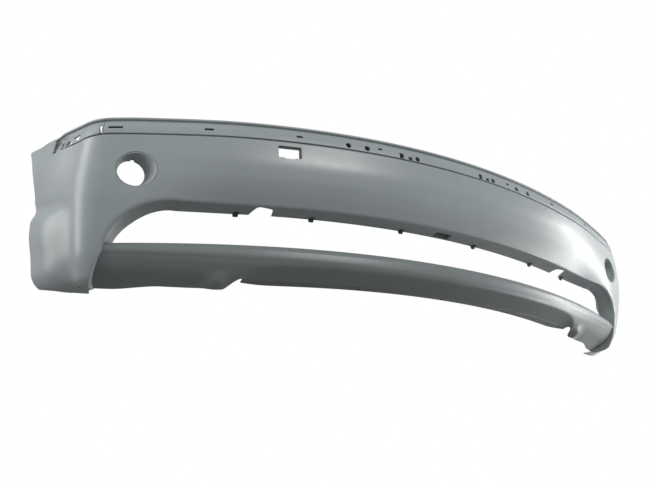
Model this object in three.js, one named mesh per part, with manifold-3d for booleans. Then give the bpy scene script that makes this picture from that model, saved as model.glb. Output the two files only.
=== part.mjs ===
// Front bumper cover of a small car, as an assembly of its moulded pieces.
// Millimetres, +Z up, the front faces -Y, +X is the right-hand side seen from the front.
import * as THREE from 'three';
import { mergeVertices } from 'three/addons/utils/BufferGeometryUtils.js';
import Module from 'manifold-3d';

const wasm = await Module();
wasm.setup();

// ---------------------------------------------------------------- driving dimensions
const WALL = 3.0;                  // moulded wall of the skin and the bar
const THIN = 2.5;                  // wall of the small mouldings
const GAP = 0.5;                   // air between neighbouring pieces

// Plan view of the widest level: a parabolic crown, a corner arc, then a straight side.
const CROWN_Y = 58;
const CROWN_BOW = 2.85e-4;
const CORNER_START = 690;
const CORNER_RADIUS = 75;
const SIDE_ANGLE = THREE.MathUtils.degToRad(64);
const CORNER_ANGLE = Math.atan(2 * CROWN_BOW * CORNER_START);
const ARC_LENGTH = CORNER_RADIUS * (SIDE_ANGLE - CORNER_ANGLE);
const POLE = { x: 650, y: 330 };   // the corner tucks in towards this upright axis

// Long edges, as heights that droop towards the sides.
const DROOP = 6.6e-5;
const TOP_Z = 303;                 // upper edge of the painted face
const TOP_FALL = 0.14;             // fall of that edge per millimetre of side
const INTAKE_Z = 181;              // lower edge of the face, above the intake
const STEP_S = 828;                // where the top edge steps up to the rim height
const SIDE_RISE = 35;              // rise of the side's top edge above the front's top line
const RISE_FROM = 770;             // the shell is made up to the raised height between these two
const RISE_TO = 815;               // places, and is cut down in front of the end rail afterwards
const ARCH_FOOT_Q = -10;           // where the wheel-arch edge ends at the foot
const SIDE_CORNER = 10;            // rounding of the corner between the raised edge and the arch

// Wheel-arch edge: part of a circle seen from the side.
const ARCH = { y: 684, z: 110, radius: 350 };

// Intake corner (a quarter ellipse) and the lip that returns from the intake edge.
const INTAKE_CORNER = { s: 560, z: 55, width: 124, height: 106 };
const ROLL = 9;                    // radius of the rolled intake edge
const LIP_DEPTH = 28;
const LIP_DROP = 8;

// Lower bar.
const BAR_Y = 67;
const BAR_BOW = 3.46e-4;
const BAR_TOP_Z = 89;
const BAR_DROOP = 4.0e-5;
const BAR_END = 684;
const SCOOP_HALF = 443;            // half width of the scoop under the bar
const SCOOP_Z = 57;                // crease where the scoop starts
const SCOOP_SLOPE = 1.12;
const SCOOP_BOTTOM = 36.5;         // the bar's lower edge inside the scoop, and its droop
const SCOOP_DROOP = 4.5e-5;
const BAR_SOFTNESS = 2.5;          // rounding of the scoop's crease

// Upper channel and end rails: rises are above the skin's top line, places are along s.
const RIM = 40.5;                  // height of the rim
const CHANNEL_END = 700;           // the channel stops here and the end rails take over
const RAIL_END = 848;
const BACK_FOOT = 6;               // the channel's back wall hangs from the rim down to this rise
const SLOT_RISE = 16;
const SLOTS = [[176, 10], [348, 13], [517, 17], [678, 26]];        // place and width
const ROUND_HOLES = [206, 247];
const CLUSTERS = [-105, 108];      // middles of the two groups of three holes
const RIVET_S = 692;
const WINDOWS = [                  // corners of the end rail's windows, as place and rise
  [[757, 5], [776, 17], [757, 20]],
  [[775, 5.5], [798, 5.5], [786, 17]],
  [[803, 6], [812, 6], [814, 21], [803, 21]],
  [[831, 6], [839, 7], [842, 23], [833, 22]],
];

// Fog lamps.
const LAMP = { x: 636.3, z: 205, rim: 35, bore: 25, rear: 202, lean: 3.2 };
const TOW_EYE = { s: -368.5, z: 272, width: 41, height: 22 };
const NOTCHES = [-394, 414];       // middles of the notches in the lip
const MIDDLE_SLOT_X = 8;
const HOOKS = { left_1: -92, left_2: -294, left_3: -442, right_1: 108, right_2: 306, right_3: 448 };
const HOOK_WIDTH = 9;
// The hook's outline, ahead of the lip's rear edge and downwards.
const HOOK_OUTLINE = [
  [-2, -5.3], [9, -5.3], [9, -3.5], [-0.4, -3.5], [-0.4, 0.5], [9, 0.5], [9, 2], [4, 2],
  [0.2, 4.6], [-2, 4.6],
];
const CORNER_SLOTS = [[689, 285], [689, 313]];
const NUT_SEATS = [{ z: 8.9, lean: 0.16, pitch: -0.09 }, { z: 5, lean: 0, pitch: 0 }];
const STRIP_HALF = 428;
const STRIP_FALL = 2;              // fall of the strip's rear edge, and its growth towards the ends
const STRIP_DROOP = 1e-5;
const STRIP_HOLES = [-198, 0, 198];

// ---------------------------------------------------------------- small helpers
const lerp = THREE.MathUtils.lerp;
const clamp01 = (t) => Math.min(1, Math.max(0, t));
// Eases from 0 at a to 1 at b, whichever of the two is larger.
const smooth = (a, b, t) => THREE.MathUtils.smoothstep((t - a) / (b - a), 0, 1);

// Smooth curve through rising [key, value] pairs that never overshoots them.
function smoothTable(points) {
  const x = points.map((p) => p[0]);
  const y = points.map((p) => p[1]);
  const last = x.length - 1;
  const step = x.slice(1).map((v, i) => (y[i + 1] - y[i]) / (v - x[i]));
  const slope = x.map((_, i) => {
    if (i === 0) return step[0];
    if (i === last) return step[last - 1];
    return step[i - 1] * step[i] <= 0 ? 0 : 2 / (1 / step[i - 1] + 1 / step[i]);
  });
  return (key) => {
    if (key <= x[0]) return y[0] + slope[0] * (key - x[0]);
    if (key >= x[last]) return y[last] + slope[last] * (key - x[last]);
    let i = 0;
    while (key > x[i + 1]) i += 1;
    const h = x[i + 1] - x[i];
    const t = (key - x[i]) / h;
    const a = y[i] + (y[i + 1] - y[i]) * t * t * (3 - 2 * t);
    return a + h * t * (1 - t) * (slope[i] * (1 - t) - slope[i + 1] * t);
  };
}

const range = (n, a = 0, b = 1) => Array.from({ length: n + 1 }, (_, i) => lerp(a, b, i / n));

// ---------------------------------------------------------------- the body surface
// s runs along the plan curve from the middle (0) to the wheel arch, q runs down the face:
// it is the height above the ground until the surface turns under, then it keeps counting down.
function plan(s) {
  if (s <= CORNER_START) return { x: s, y: CROWN_Y + CROWN_BOW * s * s };
  const angle = Math.min(CORNER_ANGLE + (s - CORNER_START) / CORNER_RADIUS, SIDE_ANGLE);
  const straight = Math.max(0, s - CORNER_START - ARC_LENGTH);
  const startY = CROWN_Y + CROWN_BOW * CORNER_START * CORNER_START;
  const turnedX = CORNER_START + CORNER_RADIUS * (Math.sin(angle) - Math.sin(CORNER_ANGLE));
  const turnedY = startY + CORNER_RADIUS * (Math.cos(CORNER_ANGLE) - Math.cos(angle));
  return {
    x: turnedX + straight * Math.cos(SIDE_ANGLE),
    y: turnedY + straight * Math.sin(SIDE_ANGLE),
  };
}

function inward(s, p) {
  if (s <= POLE.x) return { x: 0, y: 1 };
  const length = Math.hypot(POLE.x - p.x, POLE.y - p.y);
  return { x: (POLE.x - p.x) / length, y: (POLE.y - p.y) / length };
}

const topZ = (s) => (s <= CORNER_START
  ? TOP_Z - DROOP * s * s
  : TOP_Z - DROOP * CORNER_START ** 2 - TOP_FALL * (s - CORNER_START));
const intakeZ = (s) => INTAKE_Z - DROOP * s * s;

// How far the surface lies inside the plan curve, by height: middle of the face (by depth below
// the top edge), corner, and side with its shoulder.
const faceInset = smoothTable([[-20, 5], [0, 3], [40, 0], [75, 5], [100, 14], [119, 25], [130, 32],
  [300, 140]]);
const cornerInset = smoothTable([[-60, 108], [-40, 88], [-15, 64], [5, 48], [25, 36.6], [50, 24.4],
  [87, 14.6], [125, 7.3], [163, 1.6], [194, 0], [227, 1.6], [271, 6], [310, 12]]);
const sideInset = smoothTable([[-60, 88], [-40, 70], [-15, 47], [5, 33], [25, 19], [56, 9],
  [102, -2.5], [122, -3.4], [148, 5], [168, 0.4], [223, -4], [280, 0.5], [310, 3]]);
const underZ = smoothTable([[-60, 0], [-40, 0], [-15, 3], [5, 9.5], [25, 25], [45, 45]]);
const heightOf = (q) => (q < 45 ? underZ(q) : q);

function bodyInset(s, q) {
  const corner = smooth(450, 640, s);
  const side = smooth(742, 830, s);
  const front = lerp(faceInset(topZ(s) - q), cornerInset(q), corner);
  const archFlange = 3 * smooth(848, 874, s) * smooth(150, 180, q);
  return lerp(front, sideInset(q), side) + archFlange;
}

function body(s, q, extra = 0) {
  const a = Math.abs(s);
  const p = plan(a);
  const d = inward(a, p);
  const inset = bodyInset(a, q) + extra;
  return new THREE.Vector3(Math.sign(s) * (p.x + d.x * inset), p.y + d.y * inset, heightOf(q));
}

// Where the wheel-arch circle cuts the side at height q.
function archS(q) {
  const z = heightOf(q);
  const edge = ARCH.y - Math.sqrt(ARCH.radius ** 2 - (z - ARCH.z) ** 2);
  let low = 800;
  let high = 960;
  for (let i = 0; i < 40; i += 1) {
    const mid = (low + high) / 2;
    if (body(mid, q).y < edge) low = mid;
    else high = mid;
  }
  return low;
}

// ---------------------------------------------------------------- the lower bar surface
const barFront = smoothTable([[4, 150], [10, 128], [17, 109], [29, 87], [41, 74], [54, 64.5], [66, 60.5],
  [76, 61], [84, 64.5], [89, 71]]);
const barTop = (x) => BAR_TOP_Z - BAR_DROOP * x * x;
const barLobe = (x) => 9 * Math.exp(-(((Math.abs(x) - 474) / 20) ** 2));
const scoopEdge = (x) => {
  const u = Math.abs(x) / SCOOP_HALF;
  return u >= 1 ? 14 : 14 + (SCOOP_Z - DROOP * 0.6 * x * x - 14) * (1 - u ** 14) ** 0.5;
};

function bar(x, z) {
  const upper = z > 54 ? 54 + (z - 54) * (BAR_TOP_Z - 54) / (barTop(x) - 54) : z;
  const lowered = z < 40 ? z + barLobe(x) * smooth(40, 14, z) : upper;
  const below = scoopEdge(x) - z;
  const recess = Math.abs(x) < SCOOP_HALF + 12
    ? SCOOP_SLOPE * 0.5 * (below + Math.hypot(below, BAR_SOFTNESS)) : 0;
  return new THREE.Vector3(x, BAR_BOW * x * x + barFront(lowered) + recess, z);
}

// ---------------------------------------------------------------- closed solids
function geometryOf(points, faces) {
  const geometry = new THREE.BufferGeometry();
  const numbers = points.flatMap((p) => [p.x, p.y, p.z]);
  geometry.setAttribute('position', new THREE.Float32BufferAttribute(numbers, 3));
  geometry.setIndex(faces.flat());
  return geometry;
}

// A grid of points (rows of columns) thickened to a closed shell. The wall grows to the side that
// is on the right of the rows' direction seen along the columns' direction; flip swaps it.
function shell(grid, thickness, flip = false) {
  const rows = grid.length;
  const columns = grid[0].length;
  const at = (i, j) => grid[Math.min(rows - 1, Math.max(0, i))][Math.min(columns - 1, Math.max(0, j))];
  const sign = flip ? -1 : 1;
  const back = grid.map((row, i) => row.map((p, j) => {
    const along = at(i, j + 1).clone().sub(at(i, j - 1));
    const across = at(i + 1, j).clone().sub(at(i - 1, j));
    return p.clone().addScaledVector(along.cross(across).normalize(), sign * thickness);
  }));
  const points = [...grid.flat(), ...back.flat()];
  const size = rows * columns;
  const faces = [];
  const quad = (a, b, c, d) => (flip ? faces.push([a, c, b], [a, d, c]) : faces.push([a, b, c], [a, c, d]));
  for (let i = 0; i < rows - 1; i += 1) {
    for (let j = 0; j < columns - 1; j += 1) {
      const a = i * columns + j;
      quad(a, a + columns, a + columns + 1, a + 1);
      quad(size + a, size + a + 1, size + a + columns + 1, size + a + columns);
    }
  }
  for (let j = 0; j < columns - 1; j += 1) {
    const a = (rows - 1) * columns + j;
    quad(j, j + 1, size + j + 1, size + j);
    quad(a + 1, a, size + a, size + a + 1);
  }
  for (let i = 0; i < rows - 1; i += 1) {
    const a = i * columns;
    const b = a + columns - 1;
    quad(a + columns, a, size + a, size + a + columns);
    quad(b, b + columns, size + b + columns, size + b);
  }
  return geometryOf(points, faces);
}

// A closed section swept through stations: rings is a list of equal loops of points, whose u and v
// give the flat outline for the end caps. A looped loft joins its last ring to its first.
function loft(rings, looped = false) {
  const outline = rings[0].map((p) => new THREE.Vector2(p.u, p.v));
  const clockwise = THREE.ShapeUtils.isClockWise(outline);
  const turned = clockwise ? rings.map((loop) => [...loop].reverse()) : rings;
  if (clockwise) outline.reverse();
  const sections = looped ? [...turned, turned[0]] : turned;
  const n = outline.length;
  const faces = [];
  for (let k = 0; k < sections.length - 1; k += 1) {
    for (let i = 0; i < n; i += 1) {
      const a = k * n + i;
      const b = k * n + ((i + 1) % n);
      faces.push([a, b, b + n], [a, b + n, a + n]);
    }
  }
  const end = (sections.length - 1) * n;
  for (const [a, b, c] of looped ? [] : THREE.ShapeUtils.triangulateShape(outline, [])) {
    faces.push([a, c, b], [end + a, end + b, end + c]);
  }
  return geometryOf(sections.flat(), faces);
}

function toManifold(geometry) {
  const bare = geometry.clone();
  bare.deleteAttribute('normal');
  bare.deleteAttribute('uv');
  const merged = mergeVertices(bare, 1e-4);
  return new wasm.Manifold(new wasm.Mesh({
    numProp: 3,
    vertProperties: new Float32Array(merged.attributes.position.array),
    triVerts: new Uint32Array(merged.index.array),
  }));
}

function fromManifold(solid) {
  const mesh = solid.simplify(0.01).getMesh();
  const geometry = new THREE.BufferGeometry();
  geometry.setAttribute('position', new THREE.BufferAttribute(new Float32Array(mesh.vertProperties), 3));
  geometry.setIndex(new THREE.BufferAttribute(new Uint32Array(mesh.triVerts), 1));
  return geometry;
}

function cut(geometry, tools) {
  let solid = toManifold(geometry);
  for (const tool of tools) solid = solid.subtract(toManifold(tool));
  return fromManifold(solid);
}

const mirrored = (geometry) => {
  const copy = geometry.clone();
  copy.scale(-1, 1, 1);
  const index = copy.index.array;
  for (let i = 0; i < index.length; i += 3) [index[i], index[i + 1]] = [index[i + 1], index[i]];
  return copy;
};

// ---------------------------------------------------------------- materials
const paintedGrey = { color: 0x8a9294, roughness: 0.42, metalness: 0.0 };
const mouldedGrey = { color: 0x6d7374, roughness: 0.55, metalness: 0.0 };
const barGrey = { color: 0x5c6263, roughness: 0.5, metalness: 0.0 };
const darkGrey = { color: 0x35393a, roughness: 0.7, metalness: 0.0 };
const steel = { color: 0x8c8f92, roughness: 0.4, metalness: 1.0 };

const bumper = new THREE.Group();
function add(name, geometry, look) {
  const mesh = new THREE.Mesh(geometry, new THREE.MeshStandardMaterial(look));
  mesh.name = name;
  bumper.add(mesh);
  return mesh;
}

// ---------------------------------------------------------------- placing along the top edge
// How far back the skin's face lies at (x, z) on its front.
const faceY = (x, z) => body(Math.abs(x), z).y;
const LAMP_Y = faceY(LAMP.x, LAMP.z);
function rimInset(s) {
  const a = Math.abs(s);
  return bodyInset(a, topZ(a)) + lerp(11, 4.5, smooth(690, 775, a)) + 4 * smooth(800, 826, a);
}
const edgeInset = (s) => bodyInset(Math.abs(s), topZ(Math.abs(s))) + 5 * smooth(786, 816, Math.abs(s));
const footInset = (s) => edgeInset(s) + WALL + GAP + 2.8 * smooth(660, 704, Math.abs(s));

// A ring in a section plane: offsets inwards and upwards from the top edge at s.
function ring(s, outline) {
  const a = Math.abs(s);
  const p = plan(a);
  const d = inward(a, p);
  const side = s < 0 ? -1 : 1;
  return outline.map(([inset, rise]) => {
    const point = new THREE.Vector3(side * (p.x + d.x * inset), p.y + d.y * inset, topZ(a) + rise);
    return Object.assign(point, { u: inset, v: rise });
  });
}

// A tool or piece set square to the top edge at s: x along it, y inwards, z up.
function onBody(geometry, s, inset, rise) {
  const at = (where) => ring(where, [[inset, rise]])[0];
  const along = at(s + 1).sub(at(s - 1)).normalize();
  const back = new THREE.Vector3(-along.y, along.x, 0).normalize();
  const up = along.clone().cross(back);
  const placed = geometry.clone();
  placed.applyMatrix4(new THREE.Matrix4().makeBasis(along, back, up).setPosition(at(s)));
  return placed;
}
const boxOf = (x, y, z) => new THREE.BoxGeometry(x, y, z);
const drill = (radius, length) => new THREE.CylinderGeometry(radius, radius, length, 12);
const joined = (...geometries) => {
  const [first, ...rest] = geometries.map(toManifold);
  return fromManifold(rest.reduce((sum, next) => sum.add(next), first));
};

// ---------------------------------------------------------------- front skin
const SIDE_TOP_Q = topZ(STEP_S + 50) + SIDE_RISE;
const ARCH_TOP_S = archS(SIDE_TOP_Q);
const ARCH_FOOT_S = archS(ARCH_FOOT_Q);
const footS = smoothTable([[1.55, ARCH_FOOT_S], [1.65, 862], [1.75, 845], [1.9, 800], [2, 765]]);
const footQ = smoothTable([[1.55, ARCH_FOOT_Q], [1.65, -26], [1.75, -45], [1.9, -54], [2, -50]]);

const sideQ = (s) => topZ(s) + SIDE_RISE * smooth(RISE_FROM, RISE_TO, s);

// Outer boundary of half the skin beyond the intake corner, for k from 0 to 2.
function outerEdge(k) {
  if (k <= 0.6) {
    const s = lerp(INTAKE_CORNER.s, STEP_S, k / 0.6);
    return { s, q: sideQ(s) };
  }
  if (k <= 0.74) {
    const t = (k - 0.6) / 0.14;
    return { s: lerp(STEP_S, ARCH_TOP_S, t), q: lerp(sideQ(STEP_S), SIDE_TOP_Q, t) };
  }
  if (k <= 1.55) {
    const q = lerp(SIDE_TOP_Q, ARCH_FOOT_Q, (k - 0.74) / 0.81);
    return { s: archS(q), q };
  }
  return { s: footS(k), q: footQ(k) };
}

// Inner boundary: the intake corner for k from 0 to 1, then the edge beside the bar to k = 2.
const besideS = smoothTable([[1, 684], [1.2, 692], [1.4, 699], [1.7, 709], [2, 726]]);
const besideQ = smoothTable([[1, 55], [1.2, 41], [1.4, 22], [1.7, -8], [2, -44]]);
const valleyX = smoothTable([[1, 672], [1.2, 675], [1.4, 676], [1.7, 673], [2, 664]]);
const valleyZ = smoothTable([[1, 60], [1.2, 42], [1.4, 29], [1.7, 16], [2, 6]]);
function innerEdge(k) {
  if (k > 1) return { s: besideS(k), q: besideQ(k) };
  const angle = Math.PI / 2 * (1 - k);
  const { s, z, width, height } = INTAKE_CORNER;
  return { s: s + width * Math.cos(angle), q: z + height * Math.sin(angle) };
}

// One column of the half skin, from the lip's rear edge over the rolled edge to the outer edge.
function skinColumn(inner, outer, lip, faceRows) {
  const place = (t) => body(lerp(inner.s, outer.s, t), lerp(inner.q, outer.q, t));
  const start = place(0);
  const outward = place(0.04).sub(start).normalize();
  const inside = body(inner.s, inner.q, 1).sub(start);
  const normal = inside.addScaledVector(outward, -inside.dot(outward)).normalize();
  const corner = start.clone().addScaledVector(outward, -ROLL);
  const free = corner.clone().addScaledVector(normal, ROLL);
  const end = lip.seat ? free.lerp(lip.seat, lip.seated) : free;
  const upright = new THREE.Vector3(outward.x, 0, outward.z).normalize();
  const rear = end.clone().addScaledVector(upright, -lip.drop);
  rear.y += lip.depth;
  const rolled = (t) => start.clone().multiplyScalar((1 - t) ** 2)
    .addScaledVector(corner, 2 * t * (1 - t)).addScaledVector(end, t * t);
  return [rear, end.clone().lerp(rear, 0.5), ...[1, 0.7, 0.35].map(rolled), ...faceRows.map(place)];
}

// A column where the intake edge is straight.
function straightColumn(s, faceRows) {
  const lip = { depth: LIP_DEPTH, drop: LIP_DROP };
  return skinColumn({ s, q: intakeZ(s) }, { s, q: topZ(s) }, lip, faceRows);
}

// The lip's free rear edge at x: its place, and the unit directions to the face and downwards.
function lipFrame(x) {
  const column = straightColumn(Math.abs(x), [0, 1]);
  const ahead = column[1].clone().sub(column[0]).normalize();
  const down = new THREE.Vector3(0, ahead.z, -ahead.y).normalize();
  if (down.z > 0) down.negate();
  const rear = column[0];
  rear.x = x;
  return { rear, ahead: new THREE.Vector3(0, ahead.y, ahead.z).normalize(), down };
}

function halfSkin(straightColumns, cornerColumns, faceRows) {
  const columns = [];
  for (const s of range(straightColumns, 0, INTAKE_CORNER.s).slice(0, -1)) {
    columns.push(straightColumn(s, faceRows));
  }
  for (const k of cornerColumns) {
    const fade = smooth(1.15, 0.75, k);
    const clearance = new THREE.Vector3(0, -GAP - 1, -GAP - 1.5 * smooth(1.6, 2, k));
    const lip = {
      depth: lerp(1.5, LIP_DEPTH, fade),
      drop: lerp(0, LIP_DROP + 8 * smooth(0, 0.6, k), fade),
      seat: bar(valleyX(k), valleyZ(k)).add(clearance),
      seated: smooth(0.8, 1.05, k),
    };
    columns.push(skinColumn(innerEdge(k), outerEdge(k), lip, faceRows));
  }
  return columns;
}

function fullGrid(half) {
  const left = half.slice(1).reverse().map((column) => column.map((p) => new THREE.Vector3(-p.x, p.y, p.z)));
  return [...left, ...half];
}

const skinRows = [0, 0.04, 0.1, 0.2, 0.32, 0.45, 0.58, 0.7, 0.82, 0.92, 1];
const cornerColumns = [...range(9, 0, 0.6), 0.67, ...range(8, 0.74, 1.55), ...range(5, 1.55, 2).slice(1)];
const skinShell = shell(fullGrid(halfSkin(11, cornerColumns, skinRows)), WALL);

// Tow-eye pocket, on one side only: a moulded box behind the skin, opened from the front.
function towEye() {
  const middle = TOW_EYE.s;
  const box = (width, depth, height, inset, dz) => {
    const rise = TOW_EYE.z + dz - topZ(Math.abs(middle));
    return onBody(boxOf(width, depth, height), middle, edgeInset(middle) + inset, rise);
  };
  const { width, height } = TOW_EYE;
  return {
    pocket: box(width + 16, 7, height + 15, 5.5, 1),
    recess: box(width + 5, 15, height + 3, -1.5, 0.5),
    hole: joined(box(width, 60, height, 0, 0), box(width / 2, 60, 6, 0, -height / 2)),
  };
}

// Notches in the lip, narrower towards the face, with rounded corners.
function lipNotch(x) {
  const { rear } = lipFrame(x);
  const shape = new THREE.Shape();
  shape.moveTo(-25, 14);
  shape.lineTo(-22, -4);
  shape.quadraticCurveTo(-16, -26, -9, -26);
  shape.lineTo(9, -26);
  shape.quadraticCurveTo(15, -26, 19, -12);
  shape.lineTo(25, 14);
  const tool = new THREE.ExtrudeGeometry(shape, { depth: 60, bevelEnabled: false, curveSegments: 3 });
  tool.translate(rear.x, rear.y, rear.z - 30);
  return fromManifold(toManifold(tool));
}

// A block on the lip at x: its outline is given ahead of the lip's rear edge and downwards.
function onLip(x, outline, width) {
  const { rear, ahead, down } = lipFrame(x);
  return loft([-width / 2, width / 2].map((dx) => outline.map(([a, b]) => {
    const point = rear.clone().addScaledVector(ahead, a).addScaledVector(down, b);
    point.x += dx;
    point.y += 2 * CROWN_BOW * rear.x * dx;
    return Object.assign(point, { u: a, v: b });
  })));
}

// The lip's middle slot opens into a closed pocket on top of the lip.
const slotPocket = onLip(MIDDLE_SLOT_X, [[1.5, -1.5], [24.5, -1.5], [24.5, -13], [1.5, -13]], 47);
const slotRoom = onLip(MIDDLE_SLOT_X, [[4, 6], [22, 6], [22, -11], [4, -11]], 42);

const towEyeTools = towEye();
const lampBore = new THREE.CylinderGeometry(LAMP.rim, LAMP.rim, 110, 32).translate(LAMP.x, LAMP_Y, LAMP.z);
// The room the bar's end takes, with a gap round it: the lip is cut away there.
function barRoom(x) {
  const top = barTop(x) + 1.2;
  const front = [30, 42, 54, 64, top].map((z) => [bar(x, z).y - 3, z]);
  const y = front[4][0];
  return [[y + 70, top], [y + 70, 30], ...front].map(([py, z]) => Object.assign(
    new THREE.Vector3(x, py, z),
    { u: py, v: z },
  ));
}
const barTool = loft([636, 648, 658, 666, 673, 680].map(barRoom));
// Takes the skin down to its top line in front of the end rail.
const topEdgeRoom = loft([RISE_FROM - 8, 780, 796, 812, STEP_S].map((s) => {
  const e = edgeInset(s);
  return ring(s, [[e - 25, 0], [e + 25, 0], [e + 25, 50], [e - 25, 50]]);
}));
// Rounds the corner between the raised top edge and the wheel arch.
function topCornerRoom() {
  const corner = body(ARCH_TOP_S, SIDE_TOP_Q);
  const top = body(ARCH_TOP_S - SIDE_CORNER, SIDE_TOP_Q + TOP_FALL * SIDE_CORNER);
  const arch = body(archS(SIDE_TOP_Q - SIDE_CORNER), SIDE_TOP_Q - SIDE_CORNER);
  const curve = range(5).map((t) => [top, corner, arch].map((p, i) => ({
    point: p, share: [(1 - t) ** 2, 2 * t * (1 - t), t * t][i],
  })).reduce((sum, { point, share }) => sum.addScaledVector(point, share), new THREE.Vector3()));
  const outline = [...curve.map((p) => [p.y, p.z]), [corner.y + 9, arch.z], [corner.y + 9, top.z + 9],
    [top.y, top.z + 9]];
  return loft([corner.x - 60, corner.x + 60].map((x) => outline.map(([y, z]) => Object.assign(
    new THREE.Vector3(x, y, z),
    { u: y, v: z },
  ))));
}
const cornerTool = topCornerRoom();
const cornerSlots = CORNER_SLOTS.map(([x, y]) => boxOf(9, 4.5, 24).translate(x, y, 2));
const skin = cut(joined(skinShell, towEyeTools.pocket, slotPocket), [
  towEyeTools.recess, towEyeTools.hole, lampBore, mirrored(lampBore),
  ...NOTCHES.map(lipNotch), slotRoom, ...cornerSlots, ...cornerSlots.map(mirrored),
  barTool, mirrored(barTool), topEdgeRoom, mirrored(topEdgeRoom), cornerTool, mirrored(cornerTool),
]);
add('front_skin', skin, paintedGrey);

// ---------------------------------------------------------------- lower bar
function barColumn(x, zEnd, heights) {
  const top = barTop(x);
  const y = BAR_BOW * x * x + BAR_Y;
  const rear = [[46, -9], [34, -3], [18, 0.6]].map(([dy, dz]) => new THREE.Vector3(x, y + dy, top + dz));
  const front = heights.map((t) => bar(x, lerp(top, zEnd, t)));
  return [...front.reverse(), ...rear.reverse()];
}
const scoopBottom = (x) => SCOOP_BOTTOM - SCOOP_DROOP * x * x;
const barBottom = (x) => {
  const a = Math.abs(x);
  const inScoop = smooth(SCOOP_HALF + 17, SCOOP_HALF - 11, a);
  const outer = lerp(12, 7.4, smooth(560, 640, a)) - 4 * Math.exp(-(((a - 474) / 18) ** 2));
  return lerp(outer, scoopBottom(x), inScoop);
};
const barXs = [...range(6, 0, 370), 395, 415, ...range(6, 430, 462), 474, 488, ...range(6, 505, BAR_END)];
const barHalf = barXs.map((x) => barColumn(x, barBottom(x), [0, 0.08, 0.2, 0.35, 0.5, 0.62, 0.75, 0.88, 1]));
add('lower_bar', shell(fullGrid(barHalf), WALL), barGrey);

// ---------------------------------------------------------------- upper channel and end rails
function sectionOutline(s, behindRim) {
  const e = edgeInset(s);
  const w = footInset(s);
  const r = rimInset(s);
  return [[w, -8], [w, 0.5], [w + 2, 0.5], [w + 2, 3.2], [e + 1.2, 3.2], [e + 2.5, 12], [e + 5, 20],
    [e + 9, 28], [r + 4, 34], [r + 4, 35.2], [r, 35.7], [r, RIM - 1.5], [r + 1.5, RIM],
    ...behindRim.map(([inset, rise]) => [r + inset, rise]),
    [r + 7, RIM - THIN], [r + 6.5, 33], [e + 11.5, 27], [e + 7.6, 19], [w + 4.5, 6], [w + 4.5, -8]];
}
const railOutline = (s) => sectionOutline(s, [[20, RIM], [20, RIM - THIN]]);
const channelOutline = (s) => sectionOutline(s, [
  [20.5, RIM], [22, RIM - 1.5], [22, BACK_FOOT], [19.6, BACK_FOOT], [19.6, RIM - THIN],
]);

const onWall = (tool, s, rise) => onBody(tool, s, edgeInset(s) + 5, rise);

function channelCuts() {
  const tools = [];
  for (const side of [-1, 1]) {
    for (const [s, width] of SLOTS) tools.push(onWall(boxOf(width, 24, 5), side * s, SLOT_RISE));
    for (const s of ROUND_HOLES) tools.push(onWall(drill(6, 24), side * s, 11.8));
    tools.push(onWall(boxOf(14, 12, 5), side * 630, 36));
  }
  for (const s of CLUSTERS) {
    tools.push(onWall(boxOf(10, 24, 12.5), s - 21, 10.5));
    tools.push(onWall(boxOf(10, 24, 7.5), s, 8));
    tools.push(onWall(drill(5.8, 24), s + 18, 10.2));
  }
  return tools;
}
const rivetBore = (s) => onBody(drill(2.8, 40).rotateX(Math.PI / 2), s, rimInset(s) + 13.5, RIM);
const stations = [-CHANNEL_END, ...range(26, 16 - CHANNEL_END, CHANNEL_END - 16), CHANNEL_END];
const channel = loft(stations.map((s) => ring(s, channelOutline(s))));
const rivetBores = [rivetBore(-RIVET_S), rivetBore(RIVET_S)];
const pocketRelief = onBody(boxOf(66, 20, 14), TOW_EYE.s, edgeInset(TOW_EYE.s) + 6, -8.5);
const channelPiece = cut(channel, [...channelCuts(), ...rivetBores, pocketRelief]);
add('upper_channel', channelPiece, mouldedGrey);

// End rail: the channel's section carried round the corner, with windows between its ribs.
function railWindow(corners) {
  const at = (s, rise, inset) => ring(s, [[edgeInset(s) + inset, rise]])[0];
  const loops = [-6, 22].map((inset) => corners.map(([s, rise]) => at(s, rise, inset)));
  const n = corners.length;
  const faces = [];
  for (let i = 1; i < n - 1; i += 1) {
    faces.push([0, i, i + 1], [n, n + i + 1, n + i]);
  }
  for (let i = 0; i < n; i += 1) {
    const j = (i + 1) % n;
    faces.push([i, n + i, j], [j, n + i, n + j]);
  }
  return geometryOf([...loops[0], ...loops[1]], faces);
}
const railBody = loft(range(12, CHANNEL_END + 1, RAIL_END).map((s) => ring(s, railOutline(s))));
function tabRing(s, top) {
  const [front, back] = [rimInset(s) + 8, rimInset(s) + 19];
  return ring(s, [[front, RIM - 5.7], [front, top], [back, top], [back, RIM - 5.7]]);
}
const tab = loft([684, 693, 706].map((s) => tabRing(s, RIM - 3.3)));
const riser = loft([701.3, 706].map((s) => tabRing(s, RIM - 1.5)));
const joggle = [onWall(boxOf(5, 24, 18), 705, 14), onWall(boxOf(5, 24, 3.5), 705, 2.5)];
const railTools = [...WINDOWS.map(railWindow), ...joggle, rivetBore(RIVET_S)];
const rail = cut(joined(railBody, tab, riser), railTools);
add('end_rail_right', rail, mouldedGrey);
add('end_rail_left', mirrored(rail), mouldedGrey);

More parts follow.
